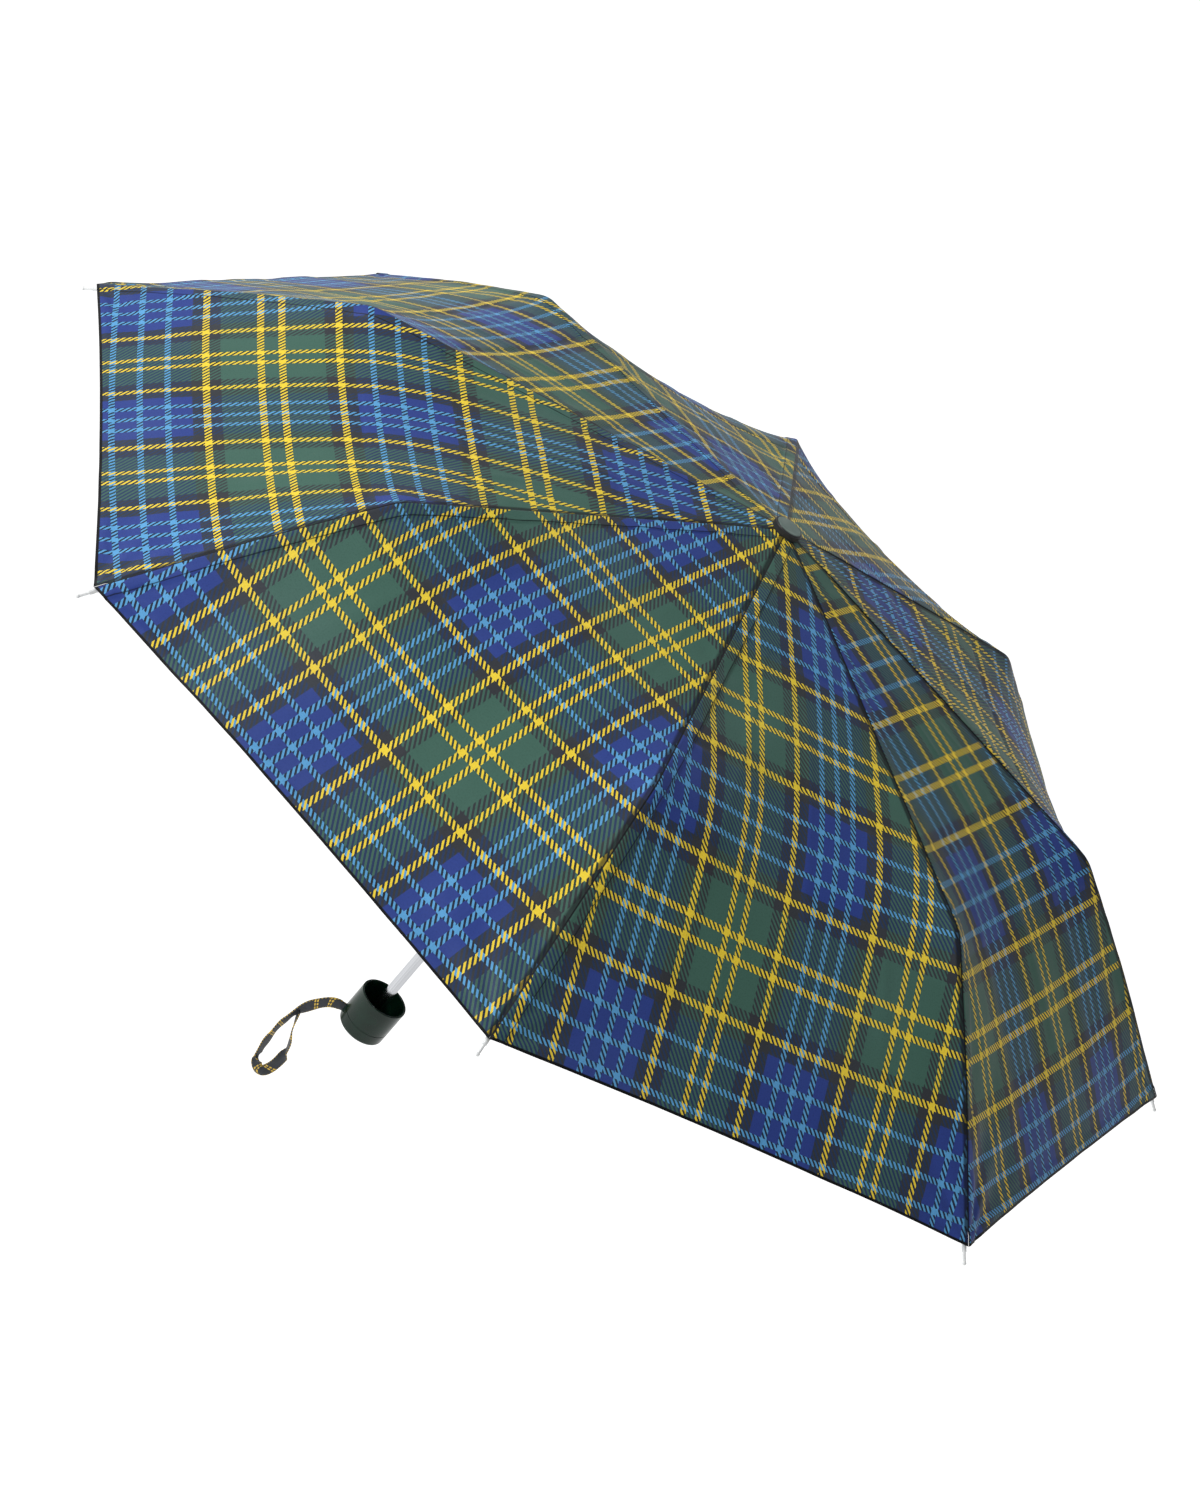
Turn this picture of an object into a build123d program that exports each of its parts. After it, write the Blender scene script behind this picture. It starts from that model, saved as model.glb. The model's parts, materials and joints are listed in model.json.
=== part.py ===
from build123d import *
import os
from math import sin, cos, tan, radians, sqrt

# Compact folding umbrella, open, upright. Millimetres, +Z up the shaft.
# Origin on the shaft axis at the middle of the handle's grip.
os.makedirs("parts", exist_ok=True)

N = 8
STEP = 360.0 / N
ZH = 521.0            # height of the hub datum above the origin
R_TIP = 480.0         # radius of the fabric corners
SLOPE = 10.2          # slope of the inner part of each rib, degrees
RA = 10.5             # radius of the pivots on crown and runner
ZA = ZH - 6.0         # height of the crown pivots
L1 = 128.0            # crown pivot to rivet, and rivet to runner pivot
DB = 20.0             # rivet to the stretcher's outer pivot
R_KNEE = 262.0
R_BEND, R_SOFT = 318.0, 400.0   # the outer rib's bend, and its slight second one
S1, S2 = 34.2, 36.8   # slope of the outer rib beyond each
BEND_RAD, SOFT_RAD = 40.0, 900.0

sl = radians(SLOPE)
B = (RA + L1 * cos(sl), ZA - L1 * sin(sl))
C = (RA, ZA - 2 * L1 * sin(sl))
D = (B[0] + DB * cos(sl), B[1] - DB * sin(sl))
E = (R_KNEE, ZA - (R_KNEE - RA) * tan(sl))

# fabric height over a rib
ZC0 = ZH - 3.0
def z_inner(r):
    return ZC0 - (r - 12.0) * tan(sl)
ZK = z_inner(R_KNEE)
Z_BEND = z_inner(R_BEND)
Z_SOFT = Z_BEND - (R_SOFT - R_BEND) * tan(radians(S1))
Z_TIP = Z_SOFT - (R_TIP - R_SOFT) * tan(radians(S2))

def on_line(r, off=0.0):
    """Point below the fabric at radius r on a straight stretch, moved down by off square to it."""
    if r <= R_BEND:
        z, a = z_inner(r), sl
    elif r <= R_SOFT:
        z, a = Z_BEND - (r - R_BEND) * tan(radians(S1)), radians(S1)
    else:
        z, a = Z_SOFT - (r - R_SOFT) * tan(radians(S2)), radians(S2)
    return (r - off * sin(a), z - off * cos(a))

def corner(p, a0, a1, off):
    """The corner p between slopes a0 and a1, moved down by off square to both."""
    m, h = (a0 + a1) / 2, (a1 - a0) / 2
    return (p[0] - off * sin(m) / cos(h), p[1] - off * cos(m) / cos(h))

BEND_P, SOFT_P = (R_BEND, Z_BEND), (R_SOFT, Z_SOFT)
def outer_line(r0, r1, off):
    """Rounded line under the fabric from radius r0 on the inner stretch to r1 near the tip."""
    pts = [
        on_line(r0, off),
        corner(BEND_P, sl, radians(S1), off),
        corner(SOFT_P, radians(S1), radians(S2), off),
        on_line(r1, off),
    ]
    return FilletPolyline(*[(p[0], 0, p[1]) for p in pts], radius=[BEND_RAD - off, SOFT_RAD - off])

def save(name, *shapes):
    s = list(shapes)
    obj = s[0] if len(s) == 1 else Compound(children=s)
    obj.label = name
    export_step(obj, "parts/%s.step" % name)
    print(name, "ok", round(sum(x.volume for x in s), 1))

def cyl(r, z0, z1, x=0.0, y=0.0):
    return Pos(x, y, (z0 + z1) / 2) * Cylinder(r, z1 - z0)

def tube(ro, ri, z0, z1):
    return cyl(ro, z0, z1) - cyl(ri, z0 - 1, z1 + 1)

def plate(points, y0, y1):
    """Flat piece with the outline points (r, z), between y0 and y1."""
    face = make_face(Polyline(*[(p[0], 0, p[1]) for p in points], close=True))
    s = extrude(Pos(0, y0, 0) * face, amount=y1 - y0, dir=(0, 1, 0))
    return s

def pin_y(r, p, half):
    return Pos(p[0], 0, p[1]) * Rot(90, 0, 0) * Cylinder(r, 2 * half)

def turned(s, k):
    return Rot(0, 0, STEP * k) * s

def solid1(s):
    ss = s.solids()
    assert len(ss) == 1, len(ss)
    return ss[0]

# ---------------------------------------------------------------- handle
H0, H1 = -17.0, 17.0              # ends of the grip
R_OUT, R_IN, FLOOR = 19.5, 17.9, -5.6
BOSS_R, BOSS_UP = 7.4, 5.0        # collar round the lower tube inside the cup
SEAT_R, SEAT_UP = 4.42, 4.0       # seat of the lower tube
DISC_R, DISC_DEEP = 7.5, 1.4      # disc let into the base
SLOT_Z, SLOT_WIDE, SLOT_TALL = -11.0, 2.0, 8.6
LINE_Z0, LINE_Z1, LINE_DEEP = -6.8, -6.1, 0.25      # fine line above the strap slot
cup = cyl(R_OUT, H0, H1)
cup = fillet(cup.edges().group_by(Axis.Z)[0], 2.4)
cup = cup - cyl(R_IN, FLOOR, H1 + 1)
cup = fillet(cup.edges().filter_by(GeomType.CIRCLE).group_by(Axis.Z)[-1], 0.5)
cup = cup + cyl(BOSS_R, FLOOR - 1, FLOOR + BOSS_UP)
cup = cup - cyl(SEAT_R, H0 + SEAT_UP, H1)
cup = cup - cyl(DISC_R + 0.05, H0 - 1, H0 + DISC_DEEP)
cup = cup - Pos(0, -17.0, SLOT_Z) * Box(SLOT_WIDE, 9.0, SLOT_TALL)
cup = cup - (cyl(R_OUT + 1, LINE_Z0, LINE_Z1) - cyl(R_OUT - LINE_DEEP, LINE_Z0 - 1, LINE_Z1 + 1))
save("handle_cup", solid1(cup))
disc = cyl(DISC_R, H0 + 0.2, H0 + DISC_DEEP)
disc = fillet(disc.edges().group_by(Axis.Z)[0], 0.4)
save("handle_base_disc", solid1(disc))

# wrist strap: a tab in the slot, then the loop hanging beside and below the handle, its end sewn down
STRAP_W, STRAP_T = 7.6, 1.0
TAB_Y0, TAB_Y1 = -29.0, -13.6
loop = [
    (-24.0, -11.0), (-33.0, -17.0), (-43.0, -33.0), (-49.0, -54.0), (-49.5, -76.0), (-47.0, -98.0),
    (-37.0, -108.0), (-31.0, -92.0), (-31.0, -72.0), (-42.0, -50.0), (-43.5, -38.0),
]
radii = [12.0, 20.0, 30.0, 30.0, 12.0, 6.0, 8.0, 14.0, 12.0]
tab = Pos(0, (TAB_Y0 + TAB_Y1) / 2, SLOT_Z) * Box(1.6, TAB_Y1 - TAB_Y0, 8.0)
loop_line = FilletPolyline(*[(0, y, z) for y, z in loop], radius=radii)
loop_plane = Plane(origin=loop_line @ 0, x_dir=(1, 0, 0), z_dir=loop_line % 0)
band = sweep(loop_plane * Rectangle(STRAP_W, STRAP_T), path=loop_line)
sewn = Pos(0, -43.6, -37.6) * Box(STRAP_W, 4.4, 3.4)
save("wrist_strap", solid1(tab + band + sewn))
print("strap loop length", loop_line.length)

# ---------------------------------------------------------------- shaft
U0, U1 = ZH - 274.0, ZH - 5.3      # upper tube
M0, M1 = ZH - 386.0, ZH - 249.0    # middle tube
W0, W1 = H0 + SEAT_UP, ZH - 361.0  # lower tube
R_LOW, R_MID, R_UP = 4.4, 5.2, 6.0
BORE_LOW, BORE_MID, BORE_UP = 3.5, 4.45, 5.25
GROOVE = 0.35                      # depth of the key groove rolled along a tube

def grooved(ro, ri, z0, z1, plain):
    """Tube with a shallow key groove along one side, its ends left plain."""
    key = Pos(ro, 0, (z0 + z1) / 2) * Box(2 * GROOVE, 1.0, z1 - z0 - 2 * plain)
    return tube(ro, ri, z0, z1) - key

save("lower_tube", solid1(grooved(R_LOW, BORE_LOW, W0, W1, 2.0)))
save("middle_tube", solid1(grooved(R_MID, BORE_MID, M0, M1, 10.0)))
ferrule = tube(R_MID + 0.55, R_MID + 0.02, M0 - 0.4, M0 + 7)
ferrule = fillet(ferrule.edges().filter_by(GeomType.CIRCLE).group_by(Axis.Z)[-1], 0.2)
save("middle_ferrule", solid1(ferrule))
save("upper_tube", solid1(tube(R_UP, BORE_UP, U0, U1)))
save("upper_ferrule", solid1(tube(R_UP + 0.55, R_UP + 0.02, U0 - 0.4, U0 + 3.2)))

# ---------------------------------------------------------------- crown and cap
FLANGE_R, NECK_R = 14.2, 8.6
SPIGOT_R, PIN_BORE = 4.6, 1.3
RING_R = 0.6                       # wire of the ring that the top ribs hang on
crown = cyl(FLANGE_R, ZA - 2.6, ZA + 1.3) + cyl(NECK_R, ZA - 8.0, ZH - 4.0)
crown = crown - cyl(R_UP + 0.02, ZA - 9, ZH - 5.2)
crown = crown + cyl(SPIGOT_R, ZH - 5.2, ZH - 1.2)
crown = crown - cyl(PIN_BORE, ZH - 9, ZH)
rib_slot = Pos(12.9, 0, ZA - 1.2) * Box(8.0, 3.5, 8.0)
for k in range(N):
    crown = crown - turned(rib_slot, k)
crown = crown - Pos(0, 0, ZA) * Torus(RA, RING_R + 0.02)
save("crown", solid1(crown))
save("crown_ring", solid1(Pos(0, 0, ZA) * Torus(RA, RING_R)))
CAP_R, FACE_R = 11.2, 9.65
skirt = cyl(CAP_R, ZH - 2.2, ZH + 2.2)
skirt = fillet(skirt.edges().group_by(Axis.Z)[-1], 0.8)
skirt = skirt - cyl(SPIGOT_R + 0.02, ZH - 3, ZH - 1.15) - cyl(FACE_R + 0.05, ZH + 1.4, ZH + 3)
skirt = skirt - cyl(PIN_BORE, ZH - 3, ZH + 2)
save("cap_skirt", solid1(skirt))
face = cyl(FACE_R, ZH + 1.4, ZH + 2.6)
face = fillet(face.edges().group_by(Axis.Z)[-1], 0.5)
face = face + cyl(PIN_BORE - 0.05, ZH - 8.0, ZH + 1.5)
save("cap_face", solid1(face))

# ---------------------------------------------------------------- runner
ZC = C[1]
run = cyl(8.2, ZC - 3.6, ZC + 24.0)                                  # sleeve
run = run + cyl(12.6, ZC - 3.6, ZC + 3.0) + cyl(9.0, ZC + 18.0, ZC + 24.0)   # flange and collar
run = fillet(run.edges().filter_by(GeomType.CIRCLE).group_by(Axis.Z)[-1], 0.6)
run = run - cyl(R_UP + 0.1, ZC - 5, ZC + 26)
arm_slot = Pos(12.5, 0, ZC) * Box(8.0, 4.9, 20.0)
for k in range(N):
    run = run - turned(arm_slot, k)
save("runner", solid1(run))

# ---------------------------------------------------------------- one rib, then its copies
def along(p, q, s, off=0.0):
    """Point at distance s from p towards q, moved up by off square to the line."""
    L = sqrt((q[0] - p[0]) ** 2 + (q[1] - p[1]) ** 2)
    u = ((q[0] - p[0]) / L, (q[1] - p[1]) / L)
    n = (-u[1], u[0])
    return (p[0] + u[0] * s + n[0] * off, p[1] + u[1] * s + n[1] * off)

def bar(p, q, s0, s1, lo, hi):
    return [along(p, q, s0, lo), along(p, q, s1, lo), along(p, q, s1, hi), along(p, q, s0, hi)]

SHEET = 0.5                        # sheet steel of the folded ribs
HIGH = 1.5                         # half height of a rib
WIDE = 1.5                         # half width of a channel rib

def channel_sides(p, q, s0, s1):
    """The two upright walls of a channel from p towards q."""
    left = plate(bar(p, q, s0, s1, -HIGH, HIGH), -WIDE, SHEET - WIDE)
    return left + plate(bar(p, q, s0, s1, -HIGH, HIGH), WIDE - SHEET, WIDE)

# top rib: a channel open below, with a flat eye on the crown ring
A = (RA, ZA)
top = plate(bar(A, B, 4.6, L1 + 2.2, HIGH - SHEET, HIGH), -WIDE, WIDE) + channel_sides(A, B, 4.6, L1 + 2.2)
top = top + plate(bar(A, B, 0.0, 7.0, -1.4, 1.4), -WIDE, WIDE) + pin_y(1.4, A, WIDE)
top = top - pin_y(0.85, A, 3) - pin_y(0.9, B, 3)
top_rib = solid1(top)

# stretcher: two side plates joined by a web below, a rivet at each outer pivot
GAP_IN = 1.65                      # half the gap between its plates
GAP_OUT = GAP_IN + SHEET

def side_plate(y0, y1):
    s = plate(bar(C, B, 0.0, L1, -HIGH, HIGH), y0, y1) + plate(bar(B, D, 0.0, DB, -HIGH, HIGH), y0, y1)
    for c in (B, D, C):
        s = s + Pos(c[0], (y0 + y1) / 2, c[1]) * Rot(90, 0, 0) * Cylinder(HIGH, SHEET)
    return s

arms = side_plate(-GAP_OUT, -GAP_IN) + side_plate(GAP_IN, GAP_OUT)
arms = arms + plate(bar(C, B, 3.0, L1 - 16.0, -HIGH, SHEET - HIGH), -GAP_OUT, GAP_OUT)
arms = arms + pin_y(0.8, B, GAP_OUT + 0.25) + pin_y(0.8, D, GAP_OUT + 0.25)
stretcher = solid1(arms)

# middle rib: a channel open below
LM = sqrt((E[0] - D[0]) ** 2 + (E[1] - D[1]) ** 2)
mid_rib = plate(bar(D, E, -2.0, LM - 3.2, HIGH - SHEET, HIGH), -WIDE, WIDE)
mid_rib = mid_rib + channel_sides(D, E, -2.0, LM + 2.0)
mid_rib = mid_rib - pin_y(0.9, D, 3) + pin_y(0.7, E, WIDE + 0.2)
middle = solid1(mid_rib)

# outer rib: a flat eye in the channel, then a bent wire
OFF = 2.75                         # the wire's centre below the fabric
WIRE_R, EYE_T = 1.2, 0.8
q0 = on_line(R_KNEE + 11.0, OFF)
eye_outline = [
    (E[0] - 1.1, E[1] - 1.1), (q0[0] + 1.0, q0[1] - 1.25), (q0[0] + 1.0, q0[1] + 1.15), (E[0] - 1.1, E[1] + 1.1)
]
eye = plate(eye_outline, -EYE_T, EYE_T) + pin_y(1.5, E, EYE_T) - pin_y(0.8, E, 3)
wire_line = outer_line(R_KNEE + 10.0, R_TIP - 2.5, OFF)
wire = sweep(Plane(origin=wire_line @ 0, z_dir=wire_line % 0) * Circle(WIRE_R), path=wire_line)
outer_rib = solid1(eye + wire)

# rib tip: a sleeve on the wire's end and a thin round-ended pin
tip_plane = Plane(origin=(wire_line @ 1) + (wire_line % 1) * 0.05, z_dir=wire_line % 1)
tip = Pos(0, 0, 3.0) * Cylinder(1.6, 6.0) + Pos(0, 0, 9.0) * Cylinder(1.15, 8.0)
tip = tip + Pos(0, 0, 13.0) * Sphere(1.45)
rib_tip = solid1(tip_plane * tip)

for k in range(N):
    n = k + 1
    save("top_rib_%d" % n, turned(top_rib, k))
    save("stretcher_%d" % n, turned(stretcher, k))
    save("middle_rib_%d" % n, turned(middle, k))
    save("outer_rib_%d" % n, turned(outer_rib, k))
    save("rib_tip_%d" % n, turned(rib_tip, k))

# ---------------------------------------------------------------- canopy
# Each gore spans two ribs with straight level lines; its middle is at cos(22.5 deg) of the rib's radius.
half = radians(STEP / 2)
CLOTH_T = 0.5
R_HOLE = 8.4
SEAM_GAP = 0.04                    # half the gap between two gores
FAR = 520.0                        # beyond every corner

def fabric(off, n=46):
    """Points of the rounded fabric line, from the hole to the tip, moved down by off."""
    lead = [(R_HOLE, z_inner(R_HOLE) - off / cos(sl)), (R_KNEE - off * sin(sl), ZK - off * cos(sl))]
    line = outer_line(R_KNEE + 30.0, R_TIP, off)
    return lead + [((line @ (i / n)).X, (line @ (i / n)).Z) for i in range(n + 1)]

outline = fabric(0.0) + fabric(CLOTH_T)[::-1]
section = make_face(Polyline(*[(r * cos(half), 0, z) for r, z in outline], close=True))
slab = extrude(Pos(0, -190, 0) * section, amount=380, dir=(0, 1, 0))
far_y = FAR * sin(half) - SEAM_GAP
corners = [(SEAM_GAP / sin(half), 0, 0), (FAR * cos(half), far_y, 0), (FAR * cos(half), -far_y, 0)]
wedge = extrude(make_face(Polyline(*corners, close=True)), amount=800, dir=(0, 0, 1))
gore = solid1(slab & wedge)
save("canopy", *[turned(gore, k + 0.5) for k in range(N)])
print("knee pivots B", B, "C", C, "D", D, "E", E, "tip", wire_line @ 1)
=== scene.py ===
"""Compact folding umbrella: canopy, seams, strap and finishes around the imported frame."""

import json
import math

import bpy
import numpy as np
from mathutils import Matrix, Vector

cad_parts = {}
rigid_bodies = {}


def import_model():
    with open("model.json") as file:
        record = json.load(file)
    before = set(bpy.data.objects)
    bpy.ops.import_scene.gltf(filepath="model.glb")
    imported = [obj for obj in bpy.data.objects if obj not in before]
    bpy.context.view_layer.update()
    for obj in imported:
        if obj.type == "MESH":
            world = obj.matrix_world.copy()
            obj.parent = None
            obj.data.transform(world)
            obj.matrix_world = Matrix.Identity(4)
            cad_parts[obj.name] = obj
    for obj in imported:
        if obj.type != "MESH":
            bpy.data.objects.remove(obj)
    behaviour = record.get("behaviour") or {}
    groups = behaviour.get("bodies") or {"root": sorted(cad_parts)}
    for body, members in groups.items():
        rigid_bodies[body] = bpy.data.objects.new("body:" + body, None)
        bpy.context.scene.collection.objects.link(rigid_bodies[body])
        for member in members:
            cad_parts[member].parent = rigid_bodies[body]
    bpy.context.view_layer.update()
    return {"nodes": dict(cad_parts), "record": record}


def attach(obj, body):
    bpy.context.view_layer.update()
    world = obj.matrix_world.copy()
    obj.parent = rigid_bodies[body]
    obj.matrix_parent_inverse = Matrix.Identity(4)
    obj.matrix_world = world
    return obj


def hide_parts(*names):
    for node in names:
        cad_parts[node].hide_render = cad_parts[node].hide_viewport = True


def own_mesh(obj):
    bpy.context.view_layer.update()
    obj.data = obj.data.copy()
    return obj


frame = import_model()
nodes = frame["nodes"]

# ------------------------------------------------------------------ sizes, metres
RIBS = 8
STEP = 2 * math.pi / RIBS
HUB_Z = 0.521            # height of the hub datum
R_HOLE = 0.0084          # edge of the cloth under the cap
R_FIRST = 0.146          # where the top rib's cloth ends
R_KNEE = 0.262           # second knee
R_TIP = 0.480            # fabric corner
SLOPE, STEEP, STEEPEST = (math.tan(math.radians(a)) for a in (10.2, 34.2, 36.8))
BENDS = ((0.318, STEEP - SLOPE, 0.0079), (0.400, STEEPEST - STEEP, 0.0166))   # radius, turn, half length
CLOTH_LIFT = 0.0004      # the cloth's face over the frame's canopy


# ------------------------------------------------------------------ shader helpers
class Wire:
    """A value in a material. Arithmetic on it adds Math nodes."""

    def __init__(self, paint, socket):
        self.paint, self.socket = paint, socket

    def math(self, operation, *others):
        node = self.paint.add("ShaderNodeMath", {"operation": operation})
        for i, value in enumerate((self, *others)):
            self.paint.feed(node.inputs[i], value)
        return Wire(self.paint, node.outputs[0])

    def __add__(self, other):
        return self.math("ADD", other)

    def __mul__(self, other):
        return self.math("MULTIPLY", other)

    def __sub__(self, other):
        return self.math("SUBTRACT", other)

    def __truediv__(self, other):
        return self.math("DIVIDE", other)

    def __rsub__(self, other):
        return (self * -1.0) + other

    __radd__, __rmul__ = __add__, __mul__

    def __lt__(self, other):
        return self.math("LESS_THAN", other)

    def __gt__(self, other):
        return self.math("GREATER_THAN", other)

    def __mod__(self, other):
        return self.math("FLOORED_MODULO", other)

    def __abs__(self):
        return self.math("ABSOLUTE")

    def clamp(self):
        return self.math("MINIMUM", 1.0).math("MAXIMUM", 0.0)

    def fade(self, start, end):
        """0 before start, 1 after end, smooth between."""
        node = self.paint.add(
            "ShaderNodeMapRange",
            {"interpolation_type": "SMOOTHSTEP"},
            {"Value": self, "From Min": start, "From Max": end},
        )
        return Wire(self.paint, node.outputs[0])


class Paint:
    """One material, with a Principled shader to feed."""

    def __init__(self, name, **fixed):
        self.material = bpy.data.materials.new(name)
        self.material.use_nodes = True
        self.tree = self.material.node_tree
        self.tree.nodes.clear()
        self.shader = self.add("ShaderNodeBsdfPrincipled")
        self.set(**fixed)
        self.add("ShaderNodeOutputMaterial", {}, {"Surface": self.shader.outputs[0]})

    def feed(self, socket, value):
        if isinstance(value, Wire):
            value = value.socket
        if isinstance(value, bpy.types.NodeSocket):
            self.tree.links.new(value, socket)
        elif socket.type == "RGBA" and len(value) == 3:
            socket.default_value = (*value, 1.0)
        else:
            socket.default_value = value

    def add(self, kind, settings=None, inputs=None):
        """Any node: its settings first, a ramp's stops among them, then its sockets."""
        node = self.tree.nodes.new(kind)
        for key, value in (settings or {}).items():
            if key == "stops":
                ramp = node.color_ramp
                while len(ramp.elements) > 1:
                    ramp.elements.remove(ramp.elements[-1])
                ramp.elements[0].position = value[0][0]
                ramp.elements[0].color = (*value[0][1], 1.0)
                for place, colour in value[1:]:
                    ramp.elements.new(place).color = (*colour, 1.0)
            elif key == "interpolation":
                node.color_ramp.interpolation = value
            else:
                setattr(node, key, value)
        for key, value in (inputs or {}).items():
            self.feed(node.inputs[key], value)
        return node

    def set(self, **sockets):
        """Principled sockets by name, with _ for a space."""
        for key, value in sockets.items():
            self.feed(self.shader.inputs[key.replace("_", " ")], value)

    def attribute(self, name, part="Vector"):
        return self.add("ShaderNodeAttribute", {"attribute_name": name}).outputs[part]

    def parts(self, vector):
        node = self.add("ShaderNodeSeparateXYZ", {}, {0: vector})
        return [Wire(self, o) for o in node.outputs]

    def join(self, x, y, z=0.0):
        return self.add("ShaderNodeCombineXYZ", {}, {0: x, 1: y, 2: z}).outputs[0]

    def place(self, scale=(1, 1, 1)):
        """Object coordinates in metres, stretched by scale."""
        spot = self.add("ShaderNodeTexCoord").outputs["Object"]
        node = self.add("ShaderNodeVectorMath", {"operation": "MULTIPLY"}, {0: spot, 1: scale})
        return node.outputs[0]

    def noise(self, scale, detail=2.0, rough=0.5, vector=None):
        node = self.add(
            "ShaderNodeTexNoise",
            {},
            {"Vector": vector or self.place(), "Scale": scale, "Detail": detail, "Roughness": rough},
        )
        return Wire(self, node.outputs[0])

    def ramp(self, value, stops, interpolation="LINEAR"):
        node = self.add(
            "ShaderNodeValToRGB", {"interpolation": interpolation, "stops": stops}, {0: value}
        )
        return node.outputs[0]

    def mix(self, share, first, second, kind="MIX"):
        node = self.add("ShaderNodeMix", {"data_type": "RGBA", "blend_type": kind})
        for i, value in ((0, share), (6, first), (7, second)):
            self.feed(node.inputs[i], value)
        return node.outputs[2]

    def bump(self, height, strength, distance=0.001, normal=None):
        node = self.add(
            "ShaderNodeBump", {}, {"Height": height, "Strength": strength, "Distance": distance}
        )
        if normal is not None:
            self.feed(node.inputs["Normal"], normal)
        return node.outputs[0]


def srgb(red, green, blue):
    """Linear colour from an 8-bit display colour."""
    return tuple(
        c / 255 / 12.92 if c < 10.3 else ((c / 255 + 0.055) / 1.055) ** 2.4
        for c in (red, green, blue)
    )


# ------------------------------------------------------------------ the woven check
GREEN = srgb(66, 102, 90)
BLUE = srgb(40, 58, 92)            # one way only; both ways together it is brighter
BRIGHT_BLUE = (0.006, 0.012, 0.150)
CHARCOAL = srgb(54, 57, 62)
YELLOW = srgb(242, 212, 62)
SKY = srgb(92, 162, 214)
CHECK_X, CHECK_Y = 0.1365, 0.1735      # repeat across and down a gore
TWILL_X, TWILL_Y = 0.0036, 0.0044


def check_stops(repeat, green_end, doubles, skies, half, band):
    """Constant ramp stops of one thread direction, from a single yellow line."""
    edges = [(0.0, YELLOW), (half, CHARCOAL), (band, GREEN)]
    for d in doubles:
        edges += [(d - half, YELLOW), (d + half, GREEN)]
    edges += [(green_end - band, CHARCOAL), (green_end - half, YELLOW)]
    edges += [(green_end + half, CHARCOAL), (green_end + band, BLUE)]
    for s in skies:
        edges += [(s - half, SKY), (s + half, BLUE)]
    edges += [(repeat - band, CHARCOAL), (repeat - half, YELLOW)]
    return [(e / repeat, c) for e, c in edges]


def line_stops(repeat, lines, half):
    edges = [(0.0, (1, 1, 1)), (half, (0, 0, 0))]
    for d in lines:
        edges += [(d - half, (1, 1, 1)), (d + half, (0, 0, 0))]
    edges += [(repeat - half, (1, 1, 1))]
    return [(e / repeat, c) for e, c in edges]


DOUBLES_X, END_X, SKIES_X = (0.0290, 0.0402), 0.0690, (0.0900, 0.10275, 0.1155)
DOUBLES_Y, END_Y, SKIES_Y = (0.0385, 0.0530), 0.0895, (0.1148, 0.1331, 0.1514)
LINE_HALF, BAND_HALF = 0.0022, 0.0097


def woven_check(paint, across, down):
    """Colour of the check at cloth coordinates in metres."""
    share_x, share_y = (across % CHECK_X) / CHECK_X, (down % CHECK_Y) / CHECK_Y
    thread_x = paint.ramp(
        share_x, check_stops(CHECK_X, END_X, DOUBLES_X, SKIES_X, LINE_HALF, BAND_HALF), "CONSTANT"
    )
    thread_y = paint.ramp(
        share_y, check_stops(CHECK_Y, END_Y, DOUBLES_Y, SKIES_Y, LINE_HALF, BAND_HALF), "CONSTANT"
    )
    line_x = paint.ramp(share_x, line_stops(CHECK_X, (*DOUBLES_X, END_X, *SKIES_X), LINE_HALF), "CONSTANT")
    line_y = paint.ramp(share_y, line_stops(CHECK_Y, (*DOUBLES_Y, END_Y, *SKIES_Y), LINE_HALF), "CONSTANT")
    line_x, line_y = Wire(paint, line_x), Wire(paint, line_y)
    twill = ((across / TWILL_X - down / TWILL_Y) % 1.0) < 0.5
    colour = paint.mix(twill, thread_y, thread_x)
    lined = line_x.math("MAXIMUM", line_y)
    both_blue = (share_x > (END_X + BAND_HALF) / CHECK_X) * (share_x < 1 - BAND_HALF / CHECK_X)
    both_blue = both_blue * (share_y > (END_Y + BAND_HALF) / CHECK_Y) * (share_y < 1 - BAND_HALF / CHECK_Y)
    colour = paint.mix(both_blue * (1 - lined), colour, BRIGHT_BLUE, "ADD")
    shown = twill * line_x + (1 - twill) * line_y
    gap = lined - shown
    return paint.mix(gap * 0.62, colour, (0.012, 0.014, 0.016))


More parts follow.
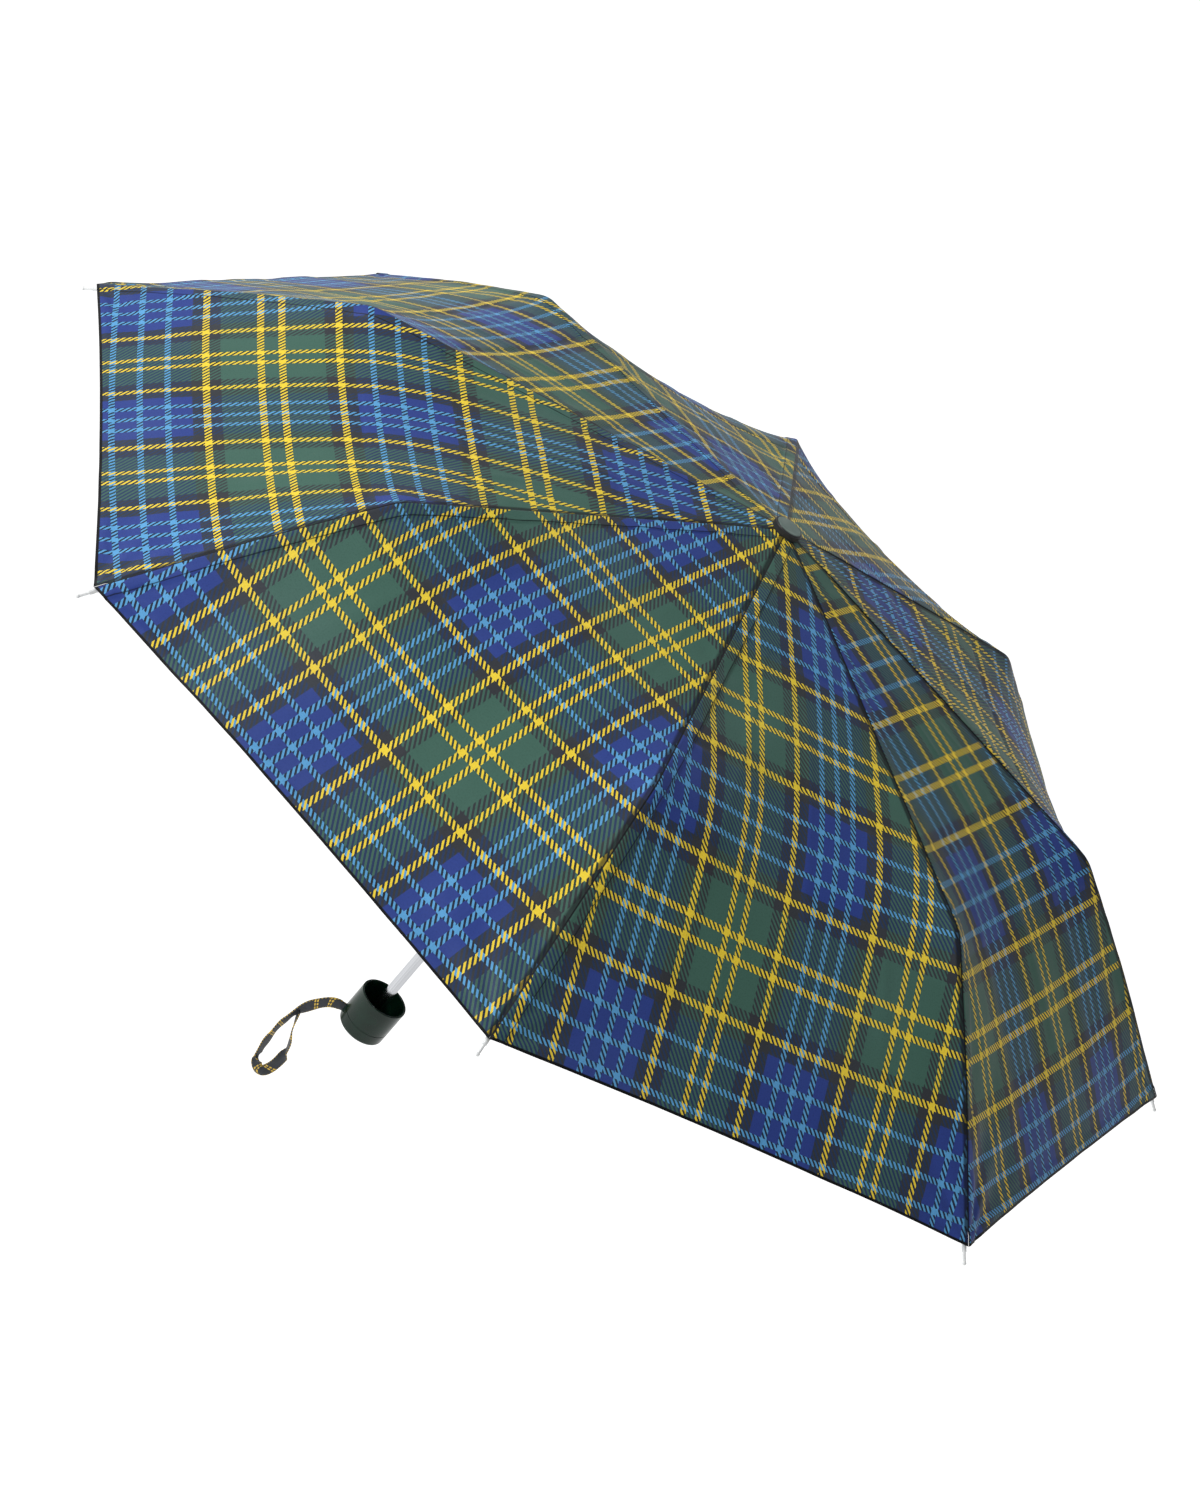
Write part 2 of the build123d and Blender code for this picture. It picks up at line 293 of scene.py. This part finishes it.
def cloth_paint():
    """Printed polyester. 'cloth' holds across, down and gore.
    'edges' holds the distances to both seams and the hem."""
    paint = Paint("canopy check", Sheen_Weight=0.02, Sheen_Roughness=0.45, Specular_IOR_Level=0.16)
    across, down, gore = paint.parts(paint.attribute("cloth"))
    near, far, hem = paint.parts(paint.attribute("edges"))
    colour = woven_check(paint, across, down)
    spot = paint.join(across, down, gore)
    cloud = paint.noise(7.0, 3.0, 0.5, spot)
    colour = paint.mix(cloud.fade(0.40, 0.75) * 0.07, colour, srgb(120, 132, 150))
    fine_thread = paint.noise(1.0, 2.0, 0.6, paint.join(across * 900.0, down * 900.0))
    colour = paint.mix(fine_thread.fade(0.45, 0.75) * 0.16, colour, srgb(14, 18, 22))
    # felled seam on one side and its stitching; painted shadow on the seam line itself, and painted shade in
    # a band beside the other seam where that gore's edge turns under
    stitch = (near.fade(0.0086, 0.0090) - near.fade(0.0094, 0.0098)) * 0.75
    # painted shadow on the seam line, darkening the cloth where the two gores meet
    painted_seam_shadow = 1 - near.fade(0.0005, 0.0012)
    # painted shade: a dark band beside the other seam
    shade = (1 - far.fade(0.0018, 0.0042)) * 0.80
    edge = 1 - hem.fade(0.0016, 0.0022)
    colour = paint.mix(stitch.math("MAXIMUM", painted_seam_shadow).math("MAXIMUM", shade), colour, srgb(16, 18, 22))
    colour = paint.mix(edge, colour, srgb(13, 14, 17))
    worn = paint.noise(60.0, 3.0, 0.55, spot)
    paint.set(Base_Color=colour, Roughness=worn * 0.18 + 0.42)
    weave_x = (across / 0.0007 * 6.283).math("SINE")
    weave_y = (down / 0.0007 * 6.283).math("SINE")
    weave = paint.bump(weave_x * weave_y, 0.10, 0.0002)
    crumple = paint.noise(38.0, 3.0, 0.55, spot)
    paint.set(Normal=paint.bump(crumple, 0.30, 0.0020, weave))
    return paint.material


# ------------------------------------------------------------------ the canopy
def rib_rows(inner, outer):
    """Radius and height of the cloth over a rib, from the hub to the corner."""
    r = np.concatenate(
        [np.linspace(R_HOLE, R_KNEE, inner + 1), np.linspace(R_KNEE, R_TIP, outer + 1)[1:]]
    )
    z = HUB_Z - 0.003 - (r - 0.012) * SLOPE + CLOTH_LIFT
    for corner, steeper, half in BENDS:
        past = np.clip(r - corner + half, 0, 2 * half)
        z = z - steeper * (past**2 / (4 * half) + np.maximum(r - corner - half, 0))
    return r, z


def stretched_gore(r, z, columns, pull_down=0.6, hem_pull=2.8):
    """The cloth between two ribs, pulled tight: each point is at rest between its neighbours.
    The gore is centred on azimuth 0, with rows along the ribs and columns across."""
    half = STEP / 2
    across = np.linspace(-1, 1, columns + 1)
    rows = len(r)
    grid = np.zeros((rows, columns + 1, 3))
    grid[:, :, 0] = (r * math.cos(half))[:, None]
    grid[:, :, 1] = (r * math.sin(half))[:, None] * across
    grid[:, :, 2] = z[:, None]
    held = np.zeros((rows, columns + 1), bool)
    held[:, 0] = held[:, -1] = held[0] = True
    step = np.linalg.norm(grid[1:, 0] - grid[:-1, 0], axis=1)
    wide = 2 * r * math.sin(half) / columns
    count = rows * (columns + 1)
    number = np.arange(count).reshape(rows, columns + 1)
    pull = np.zeros((count, count))

    def link(a, b, force):
        pull[a, a] += force
        pull[b, b] += force
        pull[a, b] -= force
        pull[b, a] -= force

    for i in range(rows):
        share = ((step[i - 1] if i else 0) + (step[i] if i < rows - 1 else 0)) / 2
        force = (share + (hem_pull if i == rows - 1 else 0)) / wide[i]
        for j in range(columns):
            link(number[i, j], number[i, j + 1], force)
        if i < rows - 1:
            force = pull_down * (wide[i] + wide[i + 1]) / 2 / step[i]
            for j in range(1, columns):
                link(number[i, j], number[i + 1, j], force)
    free = ~held.ravel()
    points = grid.reshape(-1, 3)
    points[free] = np.linalg.solve(pull[free][:, free], -pull[free][:, ~free] @ points[~free])
    return points.reshape(grid.shape)


def through(grid, places, axis):
    """Rows or columns at these places, counted in steps, on a smooth curve through the given ones."""
    g = np.moveaxis(grid, axis, 0)
    n = len(g)
    i = np.minimum(places.astype(int), n - 2)
    f = (places - i).reshape(-1, *[1] * (g.ndim - 1))
    before = g[np.maximum(i - 1, 0)]
    before[i == 0] = 2 * g[0] - g[1]
    after = g[np.minimum(i + 2, n - 1)]
    after[i == n - 2] = 2 * g[-1] - g[-2]
    a, b = g[i], g[i + 1]
    out = a + 0.5 * f * (
        b - before + f * (2 * before - 5 * a + 4 * b - after + f * (3 * (a - b) + after - before))
    )
    return np.moveaxis(out, 0, axis)


def cloth_lengths(grid):
    """Flat cloth coordinates of a gore's points: across from its centre line, and down from the hub."""
    mid = (grid.shape[1] - 1) // 2
    start = R_HOLE * math.cos(STEP / 2) * math.hypot(1, SLOPE)
    down_mid = start + np.concatenate(
        [[0], np.cumsum(np.linalg.norm(np.diff(grid[:, mid], axis=0), axis=1))]
    )
    steps = np.linalg.norm(np.diff(grid, axis=1), axis=2)
    across = np.concatenate([np.zeros((len(grid), 1)), np.cumsum(steps, axis=1)], axis=1)
    across -= across[:, mid : mid + 1]
    along = np.linalg.norm(np.diff(grid[:, 0], axis=0), axis=1)
    widen = np.diff(across[:, 0])
    down_edge = start + np.concatenate([[0], np.cumsum(np.sqrt(np.maximum(along**2 - widen**2, 0)))])
    u = np.linspace(-1, 1, grid.shape[1])
    return across, down_mid[:, None] + (down_edge - down_mid)[:, None] * u**2


class Ripple:
    """Smooth seeded noise over cloth coordinates."""

    SIZE = 64

    def __init__(self, seed):
        self.table = np.random.default_rng(seed).uniform(-1, 1, (self.SIZE, self.SIZE))

    def entry(self, i, j):
        return self.table[i % self.SIZE, j % self.SIZE]

    def __call__(self, x, y):
        i, j = np.floor(x).astype(int), np.floor(y).astype(int)
        f, g = x - i, y - j
        f, g = f * f * (3 - 2 * f), g * g * (3 - 2 * g)
        low = self.entry(i, j) * (1 - f) + self.entry(i + 1, j) * f
        high = self.entry(i, j + 1) * (1 - f) + self.entry(i + 1, j + 1) * f
        return low * (1 - g) + high * g


CHECK_SHIFT = (0.0621, 0.1242, 0.0556, 0.1196, 0.0327, 0.1305, 0.0310, 0.0048)
CHECK_DROP = (0.1490, 0.1525, 0.1601, 0.1583, 0.1520, 0.1464, 0.1478, 0.1484)
INNER, OUTER, COLUMNS = 34, 38, 32          # rows to the knee, beyond it, and columns
ROWS_FINER, FINE_COLUMNS = 3, 104
SEAM_STRIP = 0.0095                         # width of the felled seam
KNEE_CREASES = ((R_FIRST, 0.0006), (R_KNEE, 0.0010), (0.335, 0.0005))       # radius, height
FOLD_CREASES = ((-0.52, 0.0005), (0.07, 0.0007), (0.55, 0.0004))            # share of half width, height


def turned(points, angle):
    c, s = math.cos(angle), math.sin(angle)
    return points @ np.array([[c, s, 0], [-s, c, 0], [0, 0, 1]])


def mesh_object(name, points, faces, materials):
    mesh = bpy.data.meshes.new(name)
    mesh.from_pydata([tuple(p) for p in points], [], faces)
    for material in materials:
        mesh.materials.append(material)
    mesh.polygons.foreach_set("use_smooth", [True] * len(mesh.polygons))
    mesh.update()
    obj = bpy.data.objects.new(name, mesh)
    bpy.context.scene.collection.objects.link(obj)
    return obj


def point_vectors(mesh, name, values):
    attribute = mesh.attributes.new(name, "FLOAT_VECTOR", "POINT")
    attribute.data.foreach_set("vector", np.ascontiguousarray(values, np.float32).ravel())


def grid_faces(rows, columns):
    faces = []
    for i in range(rows - 1):
        for j in range(columns - 1):
            a = i * columns + j
            faces.append((a, a + columns, a + columns + 1, a + 1))
    return faces


def build_canopy():
    cloth = cloth_paint()
    r, z = rib_rows(INNER, OUTER)
    base = stretched_gore(r, z, COLUMNS)
    rows = np.linspace(0, len(r) - 1, (len(r) - 1) * ROWS_FINER + 1)
    v = np.linspace(-1, 1, FINE_COLUMNS + 1)
    columns = (1 + 0.3 * v + 0.7 * (1.5 * v - 0.5 * v**3)) * COLUMNS / 2       # closer near the seams
    grid, across, down = (
        through(through(a, rows, 0), columns, 1) for a in (base, *cloth_lengths(base))
    )
    radius = np.interp(rows, np.arange(len(r)), r)
    first_knee, second_knee = (int(np.argmin(abs(radius - x))) for x in (R_FIRST, R_KNEE))
    mid, last = FINE_COLUMNS // 2, len(radius) - 1
    rows_of = {"top": (0, first_knee), "middle": (first_knee, second_knee), "outer": (second_knee, last)}
    near, far, hem = across - across[:, :1], across[:, -1:] - across, down[-1:] - down
    for k in range(RIBS):
        points, normals = wrinkled(grid, across, down, radius, k)
        points, normals = (turned(p, STEP * (k + 0.5)) for p in (points, normals))
        cloth_place = np.stack([across - CHECK_SHIFT[k], down - CHECK_DROP[k], 0 * down + k], -1)
        edges = np.stack([near, far, hem], -1)
        for side, (left, right) in (("a", (0, mid)), ("b", (mid, FINE_COLUMNS))):
            rib = k + 1 if side == "a" else (k + 1) % RIBS + 1
            for part, (top, end) in rows_of.items():
                cut = np.s_[top : end + 1, left : right + 1]
                shape = points[cut].shape
                name = f"gore_{k + 1}{side}_{part}"
                obj = mesh_object(name, points[cut].reshape(-1, 3), grid_faces(*shape[:2]), [cloth])
                point_vectors(obj.data, "cloth", cloth_place[cut])
                point_vectors(obj.data, "edges", edges[cut])
                obj.data.normals_split_custom_set_from_vertices(
                    [tuple(n) for n in normals[cut].reshape(-1, 3)]
                )
                wide, wide_top = (abs(across[i, left] - across[i, right]) for i in (end, top))
                tall = down[end, mid] - down[top, mid]
                finish_cloth(obj, part, rib, points[cut], (wide + wide_top) / 2 * tall)
    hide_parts("canopy")


def bump_line(distance, width):
    """1 on a line, falling smoothly to 0 at width from it."""
    return np.exp(-((distance / width) ** 2))


def wrinkled(grid, across, down, radius, k):
    """The gore's points with its felled seam, puckers, pack creases and pull lines, and their normals."""

    def normals_of(g):
        n = np.cross(np.gradient(g, axis=0), np.gradient(g, axis=1))
        return n / np.linalg.norm(n, axis=2, keepdims=True)

    normals = normals_of(grid)
    ripple = Ripple(100 + k)
    near, far = across - across[:, :1], across[:, -1:] - across
    seam, hem = np.minimum(near, far), down[-1:] - down
    u = across / np.maximum(across[:, -1:], 1e-6)
    away = np.clip((down - 0.016) / 0.04, 0, 1)
    held = away * np.clip(seam / 0.012, 0, 1)
    pucker = 0.0010 * np.exp(-seam / 0.014) * ripple(down / 0.010, seam / 0.04)
    tuck = 0.0008 * np.exp(-seam / 0.026) * ripple((down + 0.9 * seam) / 0.019 + 5, seam / 0.08)
    soft = 0.0009 * ripple(across / 0.06 + 7, down / 0.09) + 0.0005 * ripple(across / 0.022, down / 0.05 + 9)
    height = held * (pucker + tuck + soft)
    # creases that the folded umbrella leaves: across at the knees, and down the gore's folds
    for knee, deep in KNEE_CREASES:
        drop = np.interp(knee, radius, down[:, 0])
        wander = 0.0025 * ripple(across / 0.05, down / 0.5 + knee * 40)
        height -= held * deep * bump_line(down - drop - wander + 0.006 * (1 - u**2), 0.0030)
    for place, deep in FOLD_CREASES:
        fade = np.clip((down - 0.10) / 0.10, 0, 1) * np.clip(hem / 0.10, 0, 1)
        wander = 0.03 * ripple(down / 0.07, u * 0 + place * 9)
        height += held * fade * deep * bump_line((u - place - wander) * 0.10, 0.0035)
    # pull lines run from each corner of the hem towards the middle
    for side, gap in ((-1, near), (1, far)):
        angle = np.arctan2(hem + 0.004, gap + 0.004)
        reach = np.hypot(hem, gap)
        fan = np.sin(angle * 11 + k + side) * np.exp(-reach / 0.07) * np.clip(reach / 0.02, 0, 1)
        height += held * 0.0009 * fan
    # the felled seam lies on the cloth at one side, and the hem is turned under
    strip = away * 0.0009 * (1 - np.clip((near - SEAM_STRIP) / 0.0010, 0, 1)) * np.clip(near / 0.0012, 0, 1)
    turn = 0.0006 * np.clip((0.0085 - hem) / 0.0012, 0, 1)
    height += strip + turn
    out = grid + normals * height[..., None]
    return out, normals_of(out)


def rib_point(radius):
    """(radius, height) of the cloth over a rib at this radius."""
    r, z = rib_rows(200, 200)
    return np.interp(radius, r, z)


def finish_cloth(obj, part, rib, p, area):
    """Each piece rides on its rib segment, attached to that rib's body."""
    angle = STEP * (rib - 1)
    ends = {"top": (0.012, R_FIRST), "middle": (R_FIRST, R_KNEE), "outer": (R_KNEE, R_TIP)}[part]
    a, b = (Vector((e * math.cos(angle), e * math.sin(angle), rib_point(e))) for e in ends)
    line = (b - a).normalized()
    centre = Vector(p.reshape(-1, 3).mean(0))
    sideways = centre - a
    sideways -= line * sideways.dot(line)
    body = {"top": f"top_rib_{rib}", "middle": f"middle_rib_{rib}", "outer": f"outer_rib_{rib}"}[part]
    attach(obj, body)
    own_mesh(obj)


# ------------------------------------------------------------------ camera and light
FLOOR_HALF, FLOOR_Z = 40, -1.5


def view_camera():
    """A camera in front and above the canopy's rim, turned on its own axis so that the shaft leans."""
    camera = bpy.data.objects.new("camera", bpy.data.cameras.new("camera"))
    bpy.context.scene.collection.objects.link(camera)
    camera.location = (1.9309, -0.2447, 1.2678)
    camera.rotation_euler = [math.radians(a) for a in (56.703, -35.655, 103.691)]
    camera.data.sensor_width = 36.0
    camera.data.lens = 72.24
    camera.data.clip_start, camera.data.clip_end = 0.05, 90
    bpy.context.scene.camera = camera


def studio():
    """A white sweep and soft light, the main one high on the strap's side."""
    bpy.context.scene.view_settings.view_transform = "Standard"
    world = bpy.data.worlds.new("studio")
    bpy.context.scene.world = world
    world.use_nodes = True
    tree = world.node_tree
    sky = tree.nodes.new("ShaderNodeSeparateXYZ")
    tree.links.new(tree.nodes.new("ShaderNodeTexCoord").outputs["Generated"], sky.inputs[0])
    bands = []
    # brighter towards the strap's side, and a pale band round the horizon
    for axis, start, end, low, high in (("Y", -1.0, 0.9, 0.70, 0.10), ("Z", 0.05, 0.30, 0.95, 0.0)):
        band = tree.nodes.new("ShaderNodeMapRange")
        for key, value in (("From Min", start), ("From Max", end), ("To Min", low), ("To Max", high)):
            band.inputs[key].default_value = value
        tree.links.new(sky.outputs[axis], band.inputs["Value"])
        bands.append(band)
    brighter = tree.nodes.new("ShaderNodeMath")
    brighter.operation = "MAXIMUM"
    for i, band in enumerate(bands):
        tree.links.new(band.outputs[0], brighter.inputs[i])
    tree.links.new(brighter.outputs[0], tree.nodes["Background"].inputs["Strength"])
    tree.nodes["Background"].inputs["Color"].default_value = (1, 1, 1, 1)
    corners = [(x * FLOOR_HALF, y * FLOOR_HALF, FLOOR_Z) for x, y in ((-1, -1), (1, -1), (1, 1), (-1, 1))]
    floor = mesh_object("floor", corners, [(0, 1, 2, 3)], [])
    white = Paint(
        "studio floor",
        Base_Color=(0.8, 0.8, 0.8),
        Roughness=0.9,
        Emission_Color=(1, 1, 1),
        Emission_Strength=0.80,
    )
    floor.data.materials.append(white.material)
    target = Vector((0, 0, 0.42))

    def lamp(name, place, size, power):
        light = bpy.data.objects.new(name, bpy.data.lights.new(name, "AREA"))
        bpy.context.scene.collection.objects.link(light)
        light.data.size, light.data.energy = size, power
        light.location = target + Vector(place)
        light.rotation_mode = "QUATERNION"
        light.rotation_quaternion = (target - light.location).to_track_quat("-Z", "Y")

    lamp("key", (0.9, -2.3, 1.5), 1.4, 52)


# ------------------------------------------------------------------ other finishes
def plain_paints():
    paints = {}

    green = Paint("handle green", Specular_IOR_Level=0.30)
    cloud = green.noise(60.0, 3.0)
    green.set(Base_Color=green.mix(cloud.fade(0.3, 0.8), srgb(6, 30, 20), srgb(12, 42, 30)))
    green.set(Roughness=cloud * 0.10 + 0.18, Normal=green.bump(green.noise(900.0, 2.0), 0.04, 0.0002))
    paints["handle_plastic"] = green

    black = Paint("black plastic", Roughness=0.4)
    grain = black.noise(1400.0, 2.0)
    black.set(Base_Color=black.mix(black.noise(70.0).fade(0.3, 0.8), srgb(20, 21, 23), srgb(34, 35, 38)))
    black.set(Roughness=grain * 0.15 + 0.32, Normal=black.bump(grain, 0.10, 0.0002))
    paints["black_plastic"] = black

    disc = Paint("cap disc", Roughness=0.35)
    haze = disc.noise(120.0, 3.0)
    disc.set(Base_Color=disc.mix(haze.fade(0.3, 0.8), srgb(92, 112, 106), srgb(116, 132, 126)))
    disc.set(Roughness=haze * 0.2 + 0.25)
    paints["cap_disc"] = disc

    clear = Paint(
        "tip plastic", Roughness=0.3, Subsurface_Weight=0.3, Subsurface_Radius=(0.004, 0.004, 0.004)
    )
    milk = clear.noise(300.0, 2.0)
    clear.set(Base_Color=clear.mix(milk.fade(0.3, 0.8), srgb(222, 224, 224), srgb(242, 243, 243)))
    paints["clear_plastic"] = clear

    steel = Paint("bright shaft", Metallic=1.0, Roughness=0.16)
    streak = steel.noise(1.0, 2.0, 0.5, steel.place((900, 900, 6)))
    steel.set(Base_Color=steel.mix(streak.fade(0.3, 0.8), (0.46, 0.47, 0.49), (0.60, 0.61, 0.63)))
    steel.set(Roughness=streak * 0.08 + 0.10, Normal=steel.bump(streak, 0.02, 0.0001))
    paints["bright_steel"] = steel

    coat = Paint("rib coating", Metallic=0.35, Roughness=0.4)
    fleck = coat.noise(500.0, 3.0)
    coat.set(Base_Color=coat.mix(fleck.fade(0.3, 0.8), srgb(40, 41, 44), srgb(66, 67, 70)))
    coat.set(Roughness=fleck * 0.2 + 0.3, Normal=coat.bump(fleck, 0.08, 0.0002))
    paints["rib_steel"] = coat

    rod = Paint("rib rod", Roughness=0.45)
    wound = rod.noise(1.0, 2.0, 0.5, rod.place((900, 900, 900)))
    rod.set(Base_Color=rod.mix(wound.fade(0.3, 0.8), srgb(30, 31, 33), srgb(50, 51, 54)))
    rod.set(Normal=rod.bump(wound, 0.12, 0.0002))
    paints["outer_rib_fibre"] = rod
    return paints


def dress_frame(paints):
    slots = {s["node"]: s["material_slot"] for s in frame["record"]["subparts"]}
    for name, obj in nodes.items():
        paint = paints.get(slots[name])
        if paint is None:
            continue
        obj.data.materials.clear()
        obj.data.materials.append(paint.material)


# ------------------------------------------------------------------ wrist strap
# (place along Y, height) from the middle of the grip, metres
STRAP_ROUTE = (
    (-0.0145, -0.0110), (-0.0240, -0.0110), (-0.0330, -0.0170), (-0.0430, -0.0330),
    (-0.0490, -0.0540), (-0.0495, -0.0760), (-0.0470, -0.0980), (-0.0370, -0.1080),
    (-0.0310, -0.0920), (-0.0310, -0.0720), (-0.0420, -0.0500), (-0.0435, -0.0380),
)
STRAP_WIDE, STRAP_THICK, STRAP_LONG = 0.0088, 0.0011, 0.193


def strap_line():
    """Points along the strap's smooth line."""
    curve = bpy.data.curves.new("strap line", "CURVE")
    curve.dimensions, curve.resolution_u = "3D", 16
    spline = curve.splines.new("NURBS")
    spline.points.add(len(STRAP_ROUTE) - 1)
    for point, (out, up) in zip(spline.points, STRAP_ROUTE):
        point.co = (0, out, up, 1)
    spline.order_u, spline.use_endpoint_u = 3, True
    guide = bpy.data.objects.new("strap line", curve)
    mesh = bpy.data.meshes.new_from_object(guide)
    line = np.array([v.co for v in mesh.vertices])
    for block, store in ((guide, bpy.data.objects), (mesh, bpy.data.meshes), (curve, bpy.data.curves)):
        store.remove(block)
    return line


def strap_paint():
    """A strip of the canopy's cloth, dark, with slanting yellow threads. 'strip' holds along, across."""
    paint = Paint("strap cloth", Roughness=0.6, Sheen_Weight=0.08, Sheen_Roughness=0.5)
    along, across, _ = paint.parts(paint.attribute("strip"))
    slant = along + across * 0.55
    place = slant % 0.0480
    groups = 0.0
    for at in (0.0150, 0.0172, 0.0268, 0.0290):
        groups = groups + (abs(place - at) < 0.00062)
    dash = ((across / 0.0030 - along / 0.0200) % 1.0) > 0.34
    edge = (abs(across) > STRAP_WIDE * 0.44) * (((along / 0.0026) % 1.0) < 0.5) * 0.7
    thread = (groups * dash).math("MAXIMUM", edge).clamp()
    shade = paint.noise(160.0, 2.0, 0.5, paint.join(along, across)).fade(0.35, 0.7)
    body = paint.mix(shade, srgb(16, 24, 30), srgb(30, 36, 48))
    twill = (((along - across) / 0.0011) % 1.0) < 0.5
    body = paint.mix(twill * 0.35, body, srgb(14, 18, 24))
    paint.set(Base_Color=paint.mix(thread, body, srgb(214, 178, 62)))
    paint.set(Normal=paint.bump(twill * 1.0, 0.25, 0.0002))
    return paint.material


def build_strap():
    """A flat band, facing out at the grip and at the bottom fold, and turned edge-on between."""
    line = strap_line()
    ahead = np.gradient(line, axis=0)
    ahead /= np.linalg.norm(ahead, axis=1, keepdims=True)
    along = np.concatenate([[0], np.cumsum(np.linalg.norm(np.diff(line, axis=0), axis=1))])
    share = along / along[-1]
    side = np.cross(ahead, (1.0, 0, 0))
    turn = np.interp(
        share,
        (0, 0.17, 0.29, 0.535, 0.575, 0.745, 0.785, 1),
        [math.radians(a) for a in (0, 4, 56, 60, 182, 178, 250, 262)],
    )
    wide_way = side * np.cos(turn)[:, None] + np.array([1.0, 0, 0]) * np.sin(turn)[:, None]
    face_way = np.cross(wide_way, ahead)
    lanes = np.linspace(-1, 1, 7)
    ring = [(t, 1) for t in lanes] + [(t, -1) for t in lanes[::-1]]
    points, strip = [], []
    for p, w, n, a in zip(line, wide_way, face_way, along):
        wide = STRAP_WIDE * (0.90 if a < 0.008 else 1.0)
        for t, face in ring:
            lift = face * STRAP_THICK / 2 * (1 - 0.35 * t**4) + 0.0004 * math.sin(a * 260 + 2 * t)
            points.append(p + w * (t * wide / 2) + n * lift)
            strip.append((a, t * wide / 2, 0))
    size, count = len(ring), len(line)
    faces = [
        (i * size + j, i * size + (j + 1) % size, (i + 1) * size + (j + 1) % size, (i + 1) * size + j)
        for i in range(count - 1)
        for j in range(size)
    ]
    faces += [tuple(range(size))[::-1], tuple(range((count - 1) * size, count * size))]
    strap = mesh_object("wrist_band", points, faces, [strap_paint()])
    point_vectors(strap.data, "strip", strip)
    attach(strap, "handle")
    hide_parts("wrist_strap")


# ------------------------------------------------------------------ build
view_camera()
build_strap()
paints = plain_paints()
dress_frame(paints)
build_canopy()
studio()
